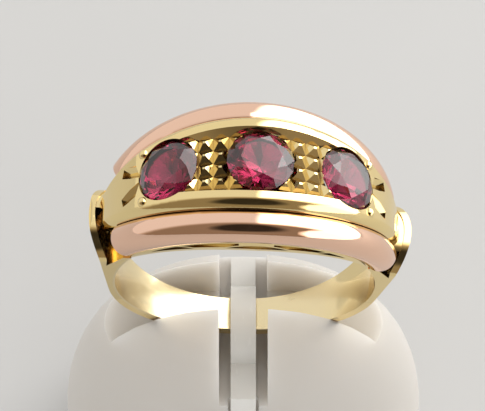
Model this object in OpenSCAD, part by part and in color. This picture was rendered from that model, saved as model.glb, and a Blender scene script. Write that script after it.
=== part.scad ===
/* [Ring] */
// Inner diameter of the ring, for a medium finger
finger_d = 17; // [16:0.25:18]
// Thickness of the shank at its foot
foot_t = 1.1; // [0.9:0.1:1.3]
// Half the width of the shank at its foot
foot_half_w = 1.1; // [1:0.05:1.2]
// Turn of the ring in its slot, seen from the front, clockwise
ring_roll = 5.2; // [0:0.1:6]

/* [Head] */
// Height of the rim's top above the finger's centre
rim_top = 12.5; // [12.3:0.05:12.7]
// Radius of the head's curved top
rim_r = 10.3; // [10.2:0.05:10.4]
// Radius of the sunk floor that carries the stones
floor_r = 11.2; // [11.1:0.05:11.3]
// Depth of the floor below the rim, at the centre
floor_depth = 0.7; // [0.6:0.05:0.8]
// Lean of the two long sides of the head towards each other
lean = 16.5; // [16:0.1:17]
// Half the width of the yellow top, from side wall to side wall
plate_half_w = 3.5; // [3.45:0.01:3.55]
// Half the width of the sunk channel at the top of its walls
channel_half_w = 2.42; // [2.3:0.02:2.5]

/* [Rails] */
// Radius of the rounded rose gold rails
rail_r = 1.1; // [1.07:0.01:1.13]
// Distance of a rail's centre line from the middle of the head
rail_half_w = 4.02; // [4:0.01:4.06]
// Height of a rail's centre line above the finger's centre
rail_top = 10.83; // [10.8:0.01:10.86]

/* [Stones] */
// Diameter of the three round stones
stone_d = 4.35; // [4.2:0.05:4.4]
// Angle of the two side stones from the middle
stone_angle = 35.2; // [35:0.1:36]

/* [Stand] */
// Half the width of the oval stand, from side to side
stand_half_w = 13.65; // [13.5:0.05:14]
// Half the depth of the oval stand, from front to back
stand_half_d = 9; // [8:0.1:10]
// Height of the finger's centre above the table
ring_centre_h = 28; // [27:0.5:30]
// Width of the clear strip that holds the ring down
strip_w = 1.8; // [1.6:0.1:2]

/* [Hidden] */
$fn = 96;

// Small gap that keeps neighbouring pieces apart, and a length past every edge for clean cuts
gap = 0.04;
past = 1;
big = 40;

// Ring frame: the finger's centre is the zero, X runs along the row of stones, Z points up
finger_r = finger_d / 2;
rim_z = rim_top - rim_r;
floor_top = rim_top - floor_depth;
floor_z = floor_top - floor_r;
plate_t = 0.9;
plate_end_angle = 84;
wall_slope = 0.78;

// The long sides are turned about axes that lean; this is the height where those axes cross
side_z = 2.62;
side_end_angle = 76;
rail_left_angle = 65.5;
rail_right_angle = 74;
edge_round = 0.95;
wall_t = 0.7;
wall_foot = 9.4;
ledge_t = 0.35;
ledge_half_w = 4.5;
gallery_t = 0.55;

// Finger hole: two discs side by side, so it is a little wider than high; it sits a little off the head
hole_x = 0.1;
hole_spread = 0.3;

// Shank: a crowned crescent turned about a centre a little above the finger's, which then runs
// straight up to the shoulders, just past their widest point
shank_r = 9.65;
shank_z = shank_r - finger_r - foot_t;
crown_r = 7;
shank_in = 6;
shoulder = [10.65, 4];
shoulder_reach = norm(shoulder - [0, shank_z]);
straight_angle = atan2(shoulder[1] - shank_z, shoulder[0]) - acos(shank_r / shoulder_reach);
straight_l = 7.5;

// Lip: a thin round tab that stands up from each shoulder and holds the end of the head; the right
// one is a little lower
lip_t = 0.45;
lip_round = 0.3;
lip_centre = shoulder - lip_round * [cos(straight_angle), sin(straight_angle)] + [0, 0.55];
lip_top = lip_centre[1] + lip_round;
lip_r = 3;
lip_z = lip_top - lip_r;
RIGHT_LEFT_DROP = [0.35, 0];
void_in = 9.45;
void_floor = 2.4;
spur_top = [8.4, 3.9];

// Gaps between the lips and the near corners of the head: how far out and how far forward they start
LIP_GAPS = [[-1, 9.85, -0.1], [1, 9.85, -1.7]];

// Solder that joins the lips to the ends of the head: where it starts and ends from front to back
LIP_JOINS = [[-1, 0.4, 2.3], [1, -1.5, 2.3]];
join_in = 9.5;
join_foot = 3;
join_drop = 0.1;

// The shank's sides taper evenly from the shoulders down to the foot
side_taper = 0.13;
foot_z = -finger_r - foot_t;

// Each side gallery: arches above a hoop along the finger hole, and openings between the arches
hoop_t = 0.2;
arch_rise = 0.38;
arch_wire = 0.12;
ARCHES = [[-60, 1.15], [-36, 1.65], [0, 2.2], [36, 1.65], [60, 1.15]];
spandrel_r = 9.34;
SPANDRELS = [[-55, -42], [-31, -7], [7, 31], [42, 55]];

// Cleats between the stones: rows of small cut pyramids, which the seats trim beside the stones
cleat_rows = 4;
cleat_pitch = 0.97;
cleat_h = 0.5;
cleat_middle = 15.25;
cleat_step = 5.1;
cleat_columns = 4;
groove_w = 0.86;
groove_depth = 0.44;
bead_r = 0.36;
bead_turn = 44;

// Cuts beyond the side stones, spread like a swallow's tail
tail_l = 2.1;
tail_w = 0.85;
tail_depth = 0.5;
tail_apart = 0.5;
tail_spread = 16;
tail_dip = 8;

// Stones: proportions of a round brilliant, as shares of the diameter
stone_r = stone_d / 2;
girdle_rise = 0.3;
table_share = 0.56;
crown_share = 0.155;
girdle_share = 0.02;
pavilion_share = 0.42;
star_share = 1.02;
low_share = 0.3;
seat_r = 1.5;
side_stone_rise = 0.12;
STONES = [-stone_angle, 0, stone_angle];
STONE_TURN = [9, 4, 17];

// Stand: an oval dome whose front and side outlines are superellipses
dome_top = ring_centre_h - 3.9;
dome_foot = 1.7;
dome_levels = 14;
dome_sides = 48;
front_power = 2.29;
side_power = 1.81;
slot_front = 1.7;
slot_back = 2.5;
slot_floor = ring_centre_h - finger_r - foot_t - 0.1;
window_half_w = 1.73;
window_floor = ring_centre_h - 11.1;
groove_half_w = 1.1;
groove_in = 0.75;
strip_t = 0.5;
strip_arch_r = 2.45;
strip_arch_z = ring_centre_h - 10.5;

// A disc that lies along Y, for everything turned about the finger's axis
module disc_y(r, z, w) {
    translate([0, 0, z]) rotate([90, 0, 0]) cylinder(r = r, h = w, center = true);
}

// An outline in X and Z, drawn out along Y
module prism_y(w) {
    rotate([90, 0, 0]) linear_extrude(height = w, center = true) children();
}

// A section in height and half width, turned about the front side's leaning axis
module front_side(left_angle, right_angle) {
    translate([0, 0, side_z]) rotate([90 + lean, 0, 0]) rotate([0, 0, 90 - right_angle])
        rotate_extrude(angle = left_angle + right_angle) rotate(-lean) translate([-side_z, 0]) children();
}

module back_side(left_angle, right_angle) {
    mirror([0, 1, 0]) front_side(left_angle, right_angle) children();
}

// Half section of the yellow top: straight inside, a quarter round and the side wall outside
module plate_section() {
    foot = side_z + 2;
    across = big / 8;
    translate([foot, -across]) square([rim_top - edge_round - foot, across + plate_half_w]);
    translate([rim_top - edge_round, plate_half_w - edge_round]) circle(r = edge_round);
    translate([foot, -across]) square([rim_top + past - foot, across + plate_half_w - edge_round]);
}

// The yellow top as a full block: a curved top between two leaning sides
module plate_block() {
    full = 89;
    intersection() {
        disc_y(rim_r, rim_z, big / 2);
        front_side(full, full) plate_section();
        back_side(full, full) plate_section();
        translate([0, 0, rim_z]) prism_y(big / 2) sector(plate_end_angle);
    }
}

// A flat sector that points up, in X and Z
module sector(end_angle) {
    reach = big / 2;
    side = reach * sin(end_angle);
    polygon([[0, 0], [side, reach * cos(end_angle)], [side, reach], [-side, reach],
             [-side, reach * cos(end_angle)]]);
}

// Half section of the sunk channel: its walls slope outwards to the rim
module channel_section() {
    below = 1.5;
    polygon([[rim_top - below, -big / 8],
             [rim_top - below, channel_half_w - below * wall_slope],
             [rim_top + past, channel_half_w + past * wall_slope],
             [rim_top + past, -big / 8]]);
}

// The channel that is cut into the top, down to the curved floor
module channel() {
    channel_end = 70;
    end_margin = 1;
    difference() {
        intersection() {
            disc_y(rim_r + past, rim_z, big / 4);
            translate([0, 0, rim_z]) prism_y(big / 2) sector(stone_angle + end_margin);
            front_side(channel_end, channel_end) channel_section();
            back_side(channel_end, channel_end) channel_section();
        }
        disc_y(floor_r, floor_z, big);
    }
}

// The raised bars between the stones, cut across into rows of pyramids
module cleat_bar() {
    half = cleat_step * cleat_columns / 2;
    difference() {
        intersection() {
            difference() {
                disc_y(floor_r + cleat_h, floor_z, cleat_rows * cleat_pitch);
                disc_y(floor_r - past / 2, floor_z, big);
            }
            translate([0, 0, floor_z]) prism_y(big / 4) rotate(-cleat_middle)
                polygon([[0, 0], [-big * sin(half), big * cos(half)], [big * sin(half), big * cos(half)]]);
        }
        for (i = [0 : cleat_rows])
            on_cleats(cleat_middle) translate([0, (i - cleat_rows / 2) * cleat_pitch, 0])
                rotate([90, 0, 90]) linear_extrude(height = big / 4, center = true)
                    vee(groove_w, groove_depth);
        for (i = [0 : cleat_columns])
            on_cleats(cleat_middle + (i - cleat_columns / 2) * cleat_step) rotate([90, 0, 0])
                linear_extrude(height = big / 4, center = true) vee(groove_w, groove_depth);
    }
}

// Places its children on top of the cleats, at an angle along the curved floor
module on_cleats(angle) {
    translate([0, 0, floor_z]) rotate([0, angle, 0]) translate([0, 0, floor_r + cleat_h]) children();
}

// The outline of a vee shaped groove, with its mouth at the zero
module vee(w, depth) {
    polygon([[-w / 2, past / 10], [w / 2, past / 10], [w / 2, 0], [0, -depth], [-w / 2, 0]]);
}

// Places its children at a stone, with Z out of the head
module at_stone(angle) {
    rise = girdle_height(angle);
    translate([rise * sin(angle), 0, rim_z + rise * cos(angle)]) rotate([0, angle, 0]) children();
}

// Distance of a stone's girdle from the centre of the curved top
function girdle_height(angle) =
    rim_r - floor_depth + girdle_rise + (angle == 0 ? 0 : side_stone_rise);

// Room for a stone: a straight hole, a cone under the girdle and a clear way above it
module seat(angle) {
    cone_h = pavilion_share * stone_d;
    at_stone(angle) {
        translate([0, 0, -cone_h - gap]) cylinder(r1 = gap / 2, r2 = stone_r + gap, h = cone_h);
        translate([0, 0, -gap - past / 1000]) cylinder(r = stone_r + gap, h = stone_r);
        translate([0, 0, -stone_r - past]) cylinder(r = seat_r, h = stone_r + past);
    }
}

// Short vee cuts beyond a side stone, spread like a swallow's tail
module tail_cuts(side) {
    for (spread = [-1, 1])
        at_stone(side * stone_angle)
            translate([side * (stone_r - tail_w / 2), spread * tail_apart, 0])
                rotate([0, side * tail_dip, spread * side * tail_spread])
                    rotate([90, 0, side * 90]) linear_extrude(height = tail_l) vee(tail_w, tail_depth);
}

// Small beads of metal pushed over the outer edge of a side stone
module beads(side) {
    for (spread = [-1, 1])
        at_stone(side * stone_angle)
            rotate([0, 0, (side > 0 ? 0 : 180) + spread * bead_turn])
                translate([stone_r + bead_r + gap, 0, 0]) sphere(r = bead_r, $fn = 24);
}

// Half section of a side: a wall behind the rail and a ledge under it
module side_section() {
    translate([wall_foot, plate_half_w - wall_t]) square([rim_top - edge_round - wall_foot, wall_t]);
    translate([wall_foot, plate_half_w - wall_t])
        square([ledge_t, ledge_half_w - plate_half_w + wall_t]);
}

// Half section of the pierced strip under the ledge
module gallery_section() {
    translate([finger_r - 2, ledge_half_w - gallery_t])
        square([wall_foot + ledge_t - finger_r + 2, gallery_t]);
}

// The finger hole and what lies around it, seen from the front
module hole_outline(margin) {
    for (side = [-1, 1]) translate([hole_x + side * hole_spread, 0]) circle(r = finger_r + margin);
}

module finger_hole() {
    prism_y(big) hole_outline(0);
}

// The round top of an arch, drawn out by the thickness of its wire
module arch_circle(arch, wire) {
    hoop_r = finger_r + hoop_t;
    springing = sqrt(hoop_r * hoop_r - arch[1] * arch[1]);
    rise = hoop_r + arch_rise - springing;
    arch_r = (arch[1] * arch[1] + rise * rise) / (2 * rise);
    translate([hole_x + sign(arch[0]) * hole_spread, 0]) rotate(-arch[0])
        translate([0, springing + rise - arch_r]) circle(r = arch_r + wire);
}

// The openings of a gallery, seen from the front
module gallery_openings() {
    difference() {
        for (arch = ARCHES) arch_circle(arch, 0);
        hole_outline(hoop_t);
    }
    for (span = SPANDRELS) difference() {
        intersection() {
            circle(r = spandrel_r);
            polygon([[0, 0], for (angle = span) big * [sin(angle), cos(angle)]]);
        }
        hole_outline(hoop_t + arch_wire);
        for (arch = ARCHES) arch_circle(arch, arch_wire);
    }
}

// Both long sides with their pierced galleries
module sides() {
    difference() {
        union() {
            front_side(side_end_angle, side_end_angle) side_section();
            back_side(side_end_angle, side_end_angle) side_section();
            difference() {
                union() {
                    front_side(side_end_angle, side_end_angle) gallery_section();
                    back_side(side_end_angle, side_end_angle) gallery_section();
                }
                prism_y(big / 2) gallery_openings();
            }
        }
        finger_hole();
    }
}

// The straight run of a shoulder, as round as the shank's crown
module straight(r, from) {
    translate([0, 0, shank_z]) rotate([0, -straight_angle, 0]) intersection() {
        translate([shank_r - crown_r, 0, from]) cylinder(r = r, h = straight_l - from);
        translate([shank_in, -big / 2, -big / 2]) cube(big);
    }
}

// The shank: a crescent with a crowned outside, wider towards the shoulders
module shank() {
    difference() {
        translate([hole_x, 0, 0]) difference() {
            union() {
                translate([0, 0, shank_z]) rotate([90, 0, 0]) rotate_extrude()
                    intersection() {
                        translate([shank_r - crown_r, 0]) circle(r = crown_r);
                        translate([shank_in, -crown_r]) square([shank_r, 2 * crown_r]);
                    }
                for (side = [0, 1]) mirror([side, 0, 0]) straight(crown_r, 0);
            }
            for (side = [0, 1]) mirror([side, 0, 0]) {
                prism_y(big / 2) shoulder_cut();
                lip_void();
                lip_round_cut(lip_z - RIGHT_LEFT_DROP[side]);
            }
            for (turn = [0, 1]) mirror([0, turn, 0]) side_cut();
        }
        finger_hole();
    }
}

// What is cut off above a shoulder, seen from the front: a low spur stays beside the finger
module shoulder_cut() {
    polygon([[-past, spur_top[1]], spur_top, [void_in, void_floor], [void_in, lip_top],
             [big / 2, lip_top], [big / 2, big / 2], [-past, big / 2]]);
    translate(lip_centre) difference() {
        square(past * 2);
        circle(r = lip_round);
    }
}

// The hollow inside a lip, which leaves the lip equally thick all round
module lip_void() {
    intersection() {
        straight(crown_r - lip_t, -past);
        translate([void_in - gap, -big / 2, void_floor]) cube(big);
    }
}

// What is cut off round a lip, seen from the side, so that it ends in a half round
module lip_round_cut(centre_z) {
    difference() {
        translate([void_in, -big / 2, centre_z]) cube(big);
        translate([0, 0, centre_z]) rotate([0, 90, 0]) cylinder(r = lip_r, h = big);
    }
}

// What is cut off a side of the shank
module side_cut() {
    rotate([90, 0, 90]) linear_extrude(height = big, center = true)
        polygon([[foot_half_w - past * side_taper, foot_z - past], [big, foot_z - past], [big, big],
                 [foot_half_w + (big - foot_z) * side_taper, big]]);
}

// The narrow gap between a lip and the near corner of the head's end
module lip_gap(place) {
    translate([hole_x, 0, 0]) mirror([place[0] < 0 ? 1 : 0, 0, 0]) intersection() {
        straight(crown_r - lip_t, -past);
        translate([place[1], place[2] - big, void_floor + gap]) cube(big);
    }
}

// The solder that fills the narrow space between a lip and the end of the head
module lip_join(place) {
    centre_z = lip_z - RIGHT_LEFT_DROP[place[0] < 0 ? 1 : 0];
    translate([hole_x, 0, 0]) mirror([place[0] < 0 ? 1 : 0, 0, 0]) intersection() {
        straight(crown_r - lip_t / 2, 0);
        translate([join_in, place[1], join_foot]) cube([big, place[2] - place[1], big]);
        translate([0, 0, centre_z]) rotate([0, 90, 0]) cylinder(r = lip_r - join_drop, h = big);
    }
}

// Half section of a rail: round outside, flat where it lies against the wall and the ledge
module rail_section() {
    intersection() {
        translate([rail_top, rail_half_w]) circle(r = rail_r);
        translate([wall_foot + ledge_t + gap, plate_half_w + gap])
            square([2 * rail_r + past, 2 * rail_r + past]);
    }
}

// One soldered piece of yellow gold: shank, top, side walls and galleries
module gold_setting() {
    color("goldenrod") place_ring() difference() {
        union() {
            shank();
            difference() {
                plate_block();
                disc_y(floor_r - plate_t, floor_z, big);
                channel();
            }
            sides();
            intersection() {
                for (side = [0, 1]) mirror([side, 0, 0]) cleat_bar();
                disc_y(rim_r - gap, rim_z, big);
            }
            for (side = [-1, 1]) beads(side);
            for (place = LIP_JOINS) lip_join(place);
        }
        for (angle = STONES) seat(angle);
        for (side = [-1, 1]) tail_cuts(side);
        for (place = LIP_GAPS) lip_gap(place);
        finger_hole();
    }
}

module rail_front() {
    color("rosybrown") place_ring() front_side(rail_left_angle, rail_right_angle) rail_section();
}

module rail_back() {
    color("rosybrown") place_ring() back_side(rail_left_angle, rail_right_angle) rail_section();
}

// Points evenly spaced on a circle at one height
function ring_points(n, r, z, start) =
    [for (i = [0 : n - 1]) [r * cos(start + i * 360 / n), r * sin(start + i * 360 / n), z]];

// A round brilliant with its girdle at the zero and its table up
module brilliant(r) {
    half_step = 22.5;
    girdle_top = girdle_share * r;
    table_r = table_share * r / cos(half_step);
    crown_h = 2 * crown_share * r + girdle_top;
    star_r = (table_share + 1) * r / 2 * star_share;
    star_h = crown_h + (star_r * cos(half_step) - table_r) / (r - table_r) * (girdle_top - crown_h);
    culet = -2 * pavilion_share * r;
    low_r = low_share * r;
    low_h = culet + low_r * cos(half_step) / r * (-girdle_top - culet);
    points = concat(
        ring_points(8, table_r, crown_h, 0),
        ring_points(8, star_r, star_h, half_step),
        ring_points(16, r, girdle_top, 0),
        ring_points(16, r, -girdle_top, 0),
        ring_points(8, low_r, low_h, half_step),
        [[0, 0, culet]]);
    table = [[7, 6, 5, 4, 3, 2, 1, 0]];
    stars = [for (i = [0 : 7]) [i, (i + 1) % 8, 8 + i]];
    kites = [for (i = [0 : 7]) [i, 8 + i, 16 + 2 * i, 8 + (i + 7) % 8]];
    uppers = [for (i = [0 : 7]) each [[8 + i, 17 + 2 * i, 16 + 2 * i],
                                      [8 + i, 16 + (2 * i + 2) % 16, 17 + 2 * i]]];
    band = [for (i = [0 : 15]) [16 + i, 16 + (i + 1) % 16, 32 + (i + 1) % 16, 32 + i]];
    lowers = [for (i = [0 : 7]) each [[48 + i, 32 + 2 * i, 33 + 2 * i],
                                      [48 + i, 33 + 2 * i, 32 + (2 * i + 2) % 16]]];
    mains = [for (i = [0 : 7]) [56, 48 + (i + 7) % 8, 32 + 2 * i, 48 + i]];
    polyhedron(points, concat(table, stars, kites, uppers, band, lowers, mains));
}

module stone(index) {
    color("mediumvioletred") place_ring() at_stone(STONES[index])
        rotate([0, 0, STONE_TURN[index]]) brilliant(stone_r);
}

module stone_left() stone(0);
module stone_centre() stone(1);
module stone_right() stone(2);

// Lifts the ring onto its stand and turns it a little in its slot
module place_ring() {
    translate([0, 0, ring_centre_h]) rotate([0, ring_roll, 0]) children();
}

// Half size of the stand at a share of the dome's height
function dome_half(share, half, power) = half * pow(max(0, 1 - pow(share, power)), 1 / power);

// Height shares of the dome's levels, closer together towards the top
function dome_share(level) = sin(90 * level / dome_levels);

// One oval level of the dome
function dome_ring(share, z) =
    [for (i = [0 : dome_sides - 1]) let (turn = 360 * i / dome_sides)
        [dome_half(share, stand_half_w, front_power) * cos(turn),
         dome_half(share, stand_half_d, side_power) * sin(turn), z]];

// The oval dome, from its straight foot to a point at the top
module dome() {
    height = dome_top - dome_foot;
    points = concat(dome_ring(0, 0),
        [for (level = [0 : dome_levels - 1])
            each dome_ring(dome_share(level), dome_foot + height * dome_share(level))],
        [[0, 0, dome_top]]);
    base = [[for (i = [0 : dome_sides - 1]) i]];
    walls = [for (level = [0 : dome_levels - 1]) for (i = [0 : dome_sides - 1])
        let (low = level * dome_sides, high = low + dome_sides, next = (i + 1) % dome_sides)
            each [[low + i, high + i, high + next], [low + i, high + next, low + next]]];
    cap = [for (i = [0 : dome_sides - 1])
        [dome_levels * dome_sides + i, len(points) - 1, dome_levels * dome_sides + (i + 1) % dome_sides]];
    polyhedron(points, concat(base, walls, cap));
}

// Side outline of the stand, drawn in by a set amount
module side_outline(inset) {
    half = [for (level = [0 : dome_levels])
        [dome_half(dome_share(level), stand_half_d - inset, side_power),
         dome_foot + (dome_top - dome_foot - inset) * dome_share(level)]];
    polygon(concat([[stand_half_d - inset, 0]], half,
        [for (i = [dome_levels - 1 : -1 : 0]) [-half[i][0], half[i][1]]], [[-(stand_half_d - inset), 0]]));
}

// The frosted stand with its two crossing slots and the groove down the front
module stand_dome() {
    color("whitesmoke") difference() {
        dome();
        translate([-big / 2, -slot_front, slot_floor]) cube([big, slot_front + slot_back, big]);
        translate([-window_half_w, -big / 2, window_floor]) cube([2 * window_half_w, big, big]);
        rotate([90, 0, 90]) linear_extrude(height = 2 * groove_half_w, center = true) difference() {
            translate([-big / 2, dome_foot]) square([big / 2, window_floor - dome_foot + gap]);
            side_outline(groove_in);
        }
    }
}

// A round arch on straight legs
module arch(r, foot) {
    translate([0, strip_arch_z]) circle(r = r);
    translate([-r, foot]) square([2 * r, strip_arch_z - foot]);
}

// Side outline of the clear strip: an arch over the ring's foot, a run each way and a front tail
module strip_outline() {
    run_z = window_floor + gap;
    intersection() {
        difference() {
            arch(strip_arch_r + strip_t, run_z);
            arch(strip_arch_r, run_z - past);
        }
        translate([-big / 2, run_z]) square(big);
    }
    intersection() {
        side_outline(gap * 4);
        union() {
            translate([strip_arch_r, run_z]) square([big / 4, strip_t]);
            translate([-big / 4 - strip_arch_r, run_z]) square([big / 4, strip_t]);
        }
    }
    intersection() {
        difference() {
            side_outline(groove_in - gap - strip_t);
            side_outline(groove_in - gap);
        }
        translate([-big, dome_foot + gap]) square([big - strip_arch_r, run_z + strip_t - dome_foot - gap]);
    }
}

module stand_strip() {
    color("aliceblue") rotate([90, 0, 90])
        linear_extrude(height = strip_w, center = true) strip_outline();
}

gold_setting();
rail_front();
rail_back();
stone_left();
stone_centre();
stone_right();
stand_dome();
stand_strip();
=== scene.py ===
# %% [markdown]
# The object is an old gold ring on a frosted display stand. Its head is a boat of yellow gold with
# three round pink tourmalines in a sunk channel, small cut pyramids between them, and a rounded rose
# gold rail on each side. A clear strip holds it down in the stand.
#
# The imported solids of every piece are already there, with every facet and cut, so they are loaded first
# and keep their shapes. What is left is the look: the metals, the stones, the plastics, the table and
# the light. Blender works in metres here, so MM turns a size in millimetres into metres.

# %% Load the frame
import math
import bpy
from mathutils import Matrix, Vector


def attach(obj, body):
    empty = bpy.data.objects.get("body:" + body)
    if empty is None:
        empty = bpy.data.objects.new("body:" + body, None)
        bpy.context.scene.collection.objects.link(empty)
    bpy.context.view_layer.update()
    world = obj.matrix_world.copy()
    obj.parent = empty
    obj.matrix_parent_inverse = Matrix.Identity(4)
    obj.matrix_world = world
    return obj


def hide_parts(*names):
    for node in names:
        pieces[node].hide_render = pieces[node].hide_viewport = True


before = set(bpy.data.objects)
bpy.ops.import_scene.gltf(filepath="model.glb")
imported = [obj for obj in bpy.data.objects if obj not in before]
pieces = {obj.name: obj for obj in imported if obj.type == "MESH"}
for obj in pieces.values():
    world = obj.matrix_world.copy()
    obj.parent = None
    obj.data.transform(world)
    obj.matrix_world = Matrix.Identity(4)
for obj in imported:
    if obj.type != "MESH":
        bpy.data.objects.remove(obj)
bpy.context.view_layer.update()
MM = 0.001
print("pieces in the frame:", sorted(pieces))

# %% [markdown]
# A photograph is matched by standing the camera where the real one stood. This one looks down at the
# ring by a little over 60 degrees, which the shape of the finger hole and the height of the head show.
# It could stand far away with a very long lens, or near with a wide one. A short distance with a long
# lens gives the slight perspective of a close-up. The lens is tipped up a little, because the ring sits
# low in the picture.
#
# The display colours are kept as they are, without the film look that would wash the yellow out of the
# gold.

# %% Camera
FINGER = Vector((0, 0, 28 * MM))  # the centre of the finger hole
DISTANCE = 150 * MM
ASIDE = Vector((-0.055 * MM, 0, 0))  # a hair to the left of the middle
LOOK_DOWN = 60.4  # degrees below the horizon
TIP_UP = 1.29  # degrees
LENS = 163.1  # millimetres, for a sensor of the width below
SENSOR = 36
NEAREST = 5 * MM  # what is nearer to the lens isn't drawn

down = math.radians(LOOK_DOWN)
camera_data = bpy.data.cameras.new("camera")
camera_data.lens = LENS
camera_data.sensor_width = SENSOR
camera_data.clip_start = NEAREST
camera = bpy.data.objects.new("camera", camera_data)
camera.location = FINGER + DISTANCE * Vector((0, -math.cos(down), math.sin(down))) + ASIDE
camera.rotation_euler = (math.radians(90 - LOOK_DOWN + TIP_UP), 0, 0)
bpy.context.collection.objects.link(camera)
bpy.context.scene.camera = camera
bpy.context.scene.view_settings.view_transform = "Standard"
print("camera at", [round(c / MM, 1) for c in camera.location], "mm")

# %% [markdown]
# A material is a tree of nodes. Built node by node it takes a page, and a sum in it can't be read as a
# sum. So the first class below wraps the output of a node, and a * b + c on it adds the Math nodes that
# are needed. The reflected forms, such as the one for 1 - mask, let a plain number stand first.

# %% Sums on shader sockets
class Shade:
    """The output of a node. A sum on it adds Math nodes to its tree."""

    def __init__(self, paint, socket):
        self.paint = paint
        self.socket = socket

    def math(self, operation, *values):
        return self.paint.node("Math", {"operation": operation}, dict(enumerate(values)))

    def __add__(self, other):
        return self.math("ADD", self, other)

    def __sub__(self, other):
        return self.math("SUBTRACT", self, other)

    def __rsub__(self, other):
        return self.math("SUBTRACT", other, self)

    def __mul__(self, other):
        return self.math("MULTIPLY", self, other)

    __radd__ = __add__
    __rmul__ = __mul__

    def between(self, low, high):
        """0 below low, 1 above high, and a smooth step from one to the other."""
        settings = {"interpolation_type": "SMOOTHSTEP"}
        return self.paint.node("MapRange", settings, {0: self, 1: low, 2: high})


# %% [markdown]
# Every other node comes from one method, which takes the node's type, its settings and its inputs.
# Settings come first, because they decide which sockets a node has. Colours go through a Mix node,
# because a Math node would turn them grey. Both a material and the room around the ring are such trees,
# so they share the class.

# %% Nodes
class Nodes:
    """A tree of shader nodes, and the ways to add to it."""

    def __init__(self, tree):
        self.tree = tree

    def node(self, kind, settings=None, inputs=None, output=0):
        made = self.tree.nodes.new("ShaderNode" + kind)
        for name, value in (settings or {}).items():
            setattr(made, name, value)
        for key, value in (inputs or {}).items():
            self.feed(made.inputs[key], value)
        return Shade(self, made.outputs[output])

    def feed(self, socket, value):
        """Links a Shade to the socket, or sets it to a plain value."""
        if isinstance(value, Shade):
            self.tree.links.new(value.socket, socket)
        else:
            socket.default_value = value

    def blend(self, factor, first, second):
        """The second colour in place of the first, as far as the factor goes."""
        colours = [(*colour, 1) if isinstance(colour, tuple) else colour for colour in (first, second)]
        inputs = {0: factor, 6: colours[0], 7: colours[1]}  # 6 and 7 are the colour sockets of a Mix node
        return self.node("Mix", {"data_type": "RGBA"}, inputs, 2)


# %% [markdown]
# A material here is one Principled shader. What is the same all over a surface is set on the shader
# itself, and what changes over it is fed to one of its sockets. Patterns are read from Object
# coordinates, in metres, so that a scale of 500 means marks about 2 mm apart, whatever the size of the
# piece.

# %% Materials
FEW, SOME, MANY = 2.0, 3.0, 4.0  # how many finer layers lie over a noise
CORNER_RAYS = 8  # rays that the ambient occlusion node sends out from each spot


class Paint(Nodes):
    """A material with one Principled shader."""

    def __init__(self, name, **constants):
        self.material = bpy.data.materials.new(name)
        self.material.use_nodes = True
        super().__init__(self.material.node_tree)
        self.shader = self.tree.nodes["Principled BSDF"]
        for label, value in constants.items():
            self.shader.inputs[label.replace("_", " ")].default_value = value

    def vary(self, label, value):
        """Something that changes over the surface, fed to one of the shader's inputs."""
        self.feed(self.shader.inputs[label], value)

    def place(self):
        return self.node("TexCoord", output="Object")

    def noise(self, scale, detail=SOME, stretch=(1, 1, 1)):
        where = self.node("Mapping", None, {"Vector": self.place(), "Scale": stretch})
        return self.node("TexNoise", None, {"Vector": where, "Scale": scale, "Detail": detail})

    def open_air(self, reach):
        """How open a spot is: 1 on a free face, towards 0 in a corner."""
        return self.node("AmbientOcclusion", {"samples": CORNER_RAYS}, {"Distance": reach}, "AO")

    def bump(self, height, distance, strength):
        inputs = {"Height": height, "Distance": distance, "Strength": strength}
        self.vary("Normal", self.node("Bump", None, inputs))

    def onto(self, *targets):
        for target in targets:
            target.data.materials.clear()
            target.data.materials.append(self.material)
            print(self.material.name, "on", target.name)


# %% [markdown]
# Polished gold is metal with a warm reflection colour and almost no roughness. A gold that is only that
# looks new and drawn. An old ring adds three things.
#
# - Wipe marks, which show as a slightly uneven gloss. A stretched noise gives them.
# - Dark grime where no cloth reaches, beside the stones, between the pyramids and under the rails,
#   together with painted shade in the same corners. It could be painted by hand, but the ambient
#   occlusion node finds the same places, because it is dark in corners and light on open faces.
# - Wear inside the finger hole, where years on a hand have made the metal paler and duller. The
#   distance from the finger's axis, which runs along Y, says where that is.

# %% Gold
WORN_R = 8.75 * MM  # metal nearer to the finger's axis than this is worn
WORN_EDGE = 0.15 * MM
SHADE_AND_GRIME_REACH = 0.8 * MM  # how near a wall has to be to darken the metal with grime and painted shade
LIT_AND_CLEAN = (0.15, 0.56)  # from grimed and shaded to clean and lit, on the scale of the ambient occlusion node
WIPE_SCALE, WIPE_STRETCH, WIPES = 500, (1, 3, 1), (0.45, 0.75)
GRAIN_SCALE, GRAIN_DEPTH, GRAIN_STRENGTH = 1400, 0.004 * MM, 0.15
WIPE_DULL, GRIME_DULL, WORN_DULL = 0.08, 0.22, 0.14  # what each adds to the roughness


def gold(name, colour, worn, grime_and_shade, haze):
    paint = Paint(name, Metallic=1.0)
    across = paint.node("VectorMath", {"operation": "SUBTRACT"}, {0: paint.place(), 1: FINGER})
    level = paint.node("VectorMath", {"operation": "MULTIPLY"}, {0: across, 1: (1, 0, 1)})
    distance = paint.node("VectorMath", {"operation": "LENGTH"}, {0: level}, "Value")
    inside = 1 - distance.between(WORN_R, WORN_R + WORN_EDGE)
    wipes = paint.noise(WIPE_SCALE, MANY, WIPE_STRETCH).between(*WIPES)
    # painted shade and grime: the colour darkens towards the grime colour in corners, where shade falls
    clean_and_lit = paint.open_air(SHADE_AND_GRIME_REACH).between(*LIT_AND_CLEAN)
    paint.vary("Base Color", paint.blend(clean_and_lit, grime_and_shade, paint.blend(inside, colour, worn)))
    paint.vary("Roughness", haze + WIPE_DULL * wipes + GRIME_DULL * (1 - clean_and_lit) + WORN_DULL * inside)
    paint.bump(paint.noise(GRAIN_SCALE, FEW), GRAIN_DEPTH, GRAIN_STRENGTH)
    return paint
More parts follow.
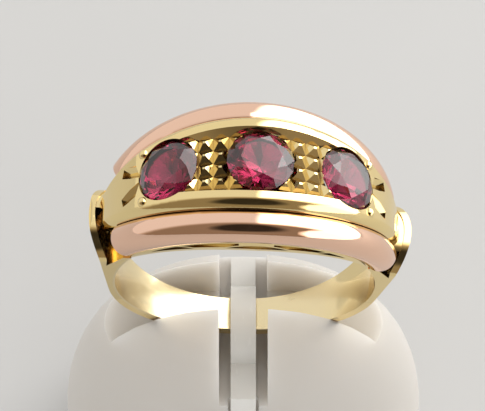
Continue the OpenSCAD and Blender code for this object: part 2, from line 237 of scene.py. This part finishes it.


# %% [markdown]
# Yellow and rose gold differ in their copper, which shows as pink. So one function makes both, with a
# colour for the clean metal, one for the worn metal, one for the grime and painted shade in corners, and
# the haze of its polish. The rails have lost less of their polish than the rest.

# %% Two golds
# each grime colour is also the painted shade in the corners of that gold
yellow_gold = gold("yellow_gold", colour=(0.87, 0.69, 0.34), worn=(0.86, 0.72, 0.44),
                   grime_and_shade=(0.18, 0.09, 0.025), haze=0.06)
rose_gold = gold("rose_gold", colour=(0.88, 0.58, 0.43), worn=(0.88, 0.64, 0.5),
                 grime_and_shade=(0.14, 0.055, 0.03), haze=0.04)
yellow_gold.onto(pieces["gold_setting"])
rose_gold.onto(pieces["rail_front"], pieces["rail_back"])

# %% [markdown]
# A cut stone is clear and strongly coloured. Its pink and almost black patches could be painted on, but
# they would stay where they are when it is turned. So it is glass with the refractive index of
# tourmaline, and the flat facets of the solid do the rest: light that comes in through the table is
# bent, turned round by the lower facets and thrown back. The rim, deep in its seat, is still painted
# darker than the open table, as painted shade near the metal. A thin coat adds the pale reflection of the
# polish.

# %% Tourmaline
TOURMALINE_IOR = 1.63
POLISH, POLISH_IOR = 0.25, 1.7
SEAT_SHADE_REACH = 1.2 * MM  # how near the metal has to be to paint shade on the stone
OPEN = (0.5, 1.0)
SHADED_PINK = (0.10, 0.004, 0.02)
PINK = (0.38, 0.024, 0.08)

tourmaline = Paint("tourmaline", Roughness=0.0, IOR=TOURMALINE_IOR, Transmission_Weight=1.0,
                   Coat_Weight=POLISH, Coat_IOR=POLISH_IOR)
# painted shade: the stone's colour darkens to the deep pink where the metal of its seat is near
open_face = tourmaline.open_air(SEAT_SHADE_REACH).between(*OPEN)
tourmaline.vary("Base Color", tourmaline.blend(open_face, SHADED_PINK, PINK))
tourmaline.onto(*[pieces["stone_" + side] for side in ("left", "centre", "right")])

# %% [markdown]
# The dome of the stand is one smooth form, but its solid is made of narrow flat facets. Those show on a
# matt surface. More facets would make the solid heavy, so a copy is shaded smooth instead, and the
# solid stays for collision. The copy's loose triangles are joined first, because shading can only run
# smoothly over shared edges. Edges sharper than SHARP degrees, such as those of the slots, stay sharp.

# %% Smooth dome
SHARP = 25
SAME_POINT = 0.001 * MM

dome = bpy.data.objects.new("frosted_dome", pieces["stand_dome"].data.copy())
bpy.context.collection.objects.link(dome)
bpy.ops.object.select_all(action="DESELECT")
dome.select_set(True)
bpy.context.view_layer.objects.active = dome
bpy.ops.mesh.customdata_custom_splitnormals_clear()
bpy.ops.object.mode_set(mode="EDIT")
bpy.ops.mesh.select_all(action="SELECT")
bpy.ops.mesh.remove_doubles(threshold=SAME_POINT)
bpy.ops.object.mode_set(mode="OBJECT")
bpy.ops.object.shade_smooth_by_angle(angle=math.radians(SHARP))
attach(dome, "root")
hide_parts("stand_dome")
print(dome.name, "has", len(dome.data.polygons), "faces")

# %% [markdown]
# Frosted acrylic is pale and slightly warm. Its etched skin scatters what it reflects, and light
# wanders under the skin, so that shadows on it are soft and never dark. Plain white paint would look
# like plaster. Subsurface scattering gives the depth, nearly the same for all three colours, because
# more red would give pink edges.

# %% Frosted acrylic
FROST_CLOUDS = 120
FROST_GRAIN, FROST_DEPTH, FROST_STRENGTH = 9000, 0.01 * MM, 0.3
WANDER = 4 * MM  # how far light goes under the skin

frosted = Paint("frosted_plastic", Roughness=0.6, Subsurface_Weight=1.0, Subsurface_Scale=WANDER,
                Subsurface_Radius=(1.0, 0.95, 0.9))
clouds = frosted.noise(FROST_CLOUDS)
frosted.vary("Base Color", frosted.blend(clouds, (0.60, 0.57, 0.53), (0.63, 0.60, 0.56)))
frosted.bump(frosted.noise(FROST_GRAIN, FEW), FROST_DEPTH, FROST_STRENGTH)
frosted.onto(dome)

# %% [markdown]
# The strip that holds the ring down is cut from thin clear sheet. Real glass shading on so thin a
# piece, inside a narrow slot, can come out dark and grainy, so it is a pale glossy plastic that lets a
# part of the light straight through. Handling has left fine scuffs across it, which dull it unevenly.

# %% Clear strip
ACRYLIC_IOR = 1.49
SOLIDITY = 0.7
STRIP_CLOUDS = 300
SCUFF_SCALE, SCUFF_STRETCH, SCUFFS = 600, (4, 1, 1), (0.4, 0.7)
STRIP_DULL, SCUFF_DULL = 0.16, 0.12  # the roughness, and what the scuffs add to it
STRIP_GRAIN, STRIP_DEPTH, STRIP_STRENGTH = 2500, 0.004 * MM, 0.2

clear = Paint("clear_plastic", IOR=ACRYLIC_IOR, Alpha=SOLIDITY)
scuffs = clear.noise(SCUFF_SCALE, MANY, SCUFF_STRETCH).between(*SCUFFS)
clear.vary("Base Color", clear.blend(clear.noise(STRIP_CLOUDS), (0.94, 0.93, 0.89), (0.97, 0.96, 0.93)))
clear.vary("Roughness", STRIP_DULL + SCUFF_DULL * scuffs)
clear.bump(clear.noise(STRIP_GRAIN, FEW), STRIP_DEPTH, STRIP_STRENGTH)
clear.onto(pieces["stand_strip"])

# %% [markdown]
# The ring stands on a plain pale table. One large plane does for it, so large that its edge is far
# outside the photograph's view. Its colour is faintly uneven, and it isn't part of the object.

# %% Floor
TABLE_SIZE = 3
TABLE_CLOUDS = 30

bpy.ops.object.select_all(action="DESELECT")
bpy.ops.mesh.primitive_plane_add(size=TABLE_SIZE)
floor = bpy.context.object
floor.name = "floor"
table_top = Paint("table_top", Roughness=0.7)
marks = table_top.noise(TABLE_CLOUDS)
table_top.vary("Base Color", table_top.blend(marks, (0.57, 0.567, 0.56), (0.61, 0.606, 0.60)))
table_top.onto(floor)

# %% [markdown]
# One soft square light, high behind the ring on the right, is the window. It gives the pale shadow to
# the left of the stand. Its size against its distance sets how soft the shadow is, and a small light
# would give a hard one.

# %% Window
WINDOW_PLACE = FINGER + Vector((0.35, 0.235, 0.265))
WINDOW_SIZE = 0.30
WINDOW_POWER = 0.8
WINDOW_COLOUR = (1.0, 0.985, 0.96)

window_data = bpy.data.lights.new("window", "AREA")
window_data.size = WINDOW_SIZE
window_data.energy = WINDOW_POWER
window_data.color = WINDOW_COLOUR
window = bpy.data.objects.new("window", window_data)
window.location = WINDOW_PLACE
window.rotation_euler = (FINGER - window.location).to_track_quat("-Z", "Y").to_euler()
bpy.context.collection.objects.link(window)
print("window", round((WINDOW_PLACE - FINGER).length, 2), "m from the ring")

# %% [markdown]
# Polished metal shows little of its own: it mirrors the room. In an even room it would look like flat
# yellow plastic. So the room is made of a few broad zones, each found by how far a direction points
# some way:
#
# - bright behind the ring, and brighter still towards the window on the right,
# - dim and brown in front, with a nearly black patch high in the middle, which gives the dark lens on
#   the front rail and rim,
# - white again low at the right front, as from a sheet of card that throws the window's light back.

# %% Zones of the room
world = bpy.data.worlds.new("room")
world.use_nodes = True
room = Nodes(world.node_tree)
direction = room.node("TexCoord", output="Generated")


def towards(x, y, z):
    """How far a direction points that way: 1 straight there, 0 at right angles, -1 away."""
    there = Vector((x, y, z)).normalized()
    return room.node("VectorMath", {"operation": "DOT_PRODUCT"}, {0: direction, 1: there}, "Value")


behind = towards(0, 1, 0).between(-0.36, -0.06)
window_side = towards(1, 0, 0).between(0.10, 0.20)
dark_patch = towards(0, -0.72, 0.69).between(0.86, 0.95)
card = towards(0.86, -0.47, 0.05).between(0.84, 0.90)

BACK_LIGHT, WINDOW_LIGHT = 0.9, 2.4
FRONT_LIGHT, CARD_LIGHT = 0.30, 2.0
DARKNESS = 0.88  # how much of the front's light the dark patch takes

back = BACK_LIGHT + WINDOW_LIGHT * window_side
front = FRONT_LIGHT * (1 - DARKNESS * dark_patch) + CARD_LIGHT * card
zones = behind * back + (1 - behind) * front

# %% [markdown]
# Only rays that a mirror or a stone throws out see those zones. Matt surfaces see an even pale room, as
# they would from all the walls together, so the dim front doesn't darken the stand. The camera itself
# sees a plain pale backdrop wherever the table ends. The Light Path node tells these rays apart.

# %% Light of the room
PALE, BROWN = (1.0, 0.99, 0.97), (1.0, 0.80, 0.58)
EVEN_LIGHT, EVEN_WINDOW = 0.88, 0.24
BACKDROP_LIGHT = 0.8

seen = room.node("LightPath", output="Is Camera Ray")
glossy = room.node("LightPath", output="Is Glossy Ray")
through = room.node("LightPath", output="Is Transmission Ray")
mirrored = glossy + (1 - glossy) * through
pale_zones = behind + (1 - behind) * card
even = EVEN_LIGHT + EVEN_WINDOW * window_side
light = mirrored * zones + (1 - mirrored) * even

backdrop = world.node_tree.nodes["Background"]
colour = room.blend(mirrored, PALE, room.blend(pale_zones, BROWN, PALE))
room.feed(backdrop.inputs["Color"], colour)
room.feed(backdrop.inputs["Strength"], seen * BACKDROP_LIGHT + (1 - seen) * light)
bpy.context.scene.world = world
print("room of", len(world.node_tree.nodes), "nodes")
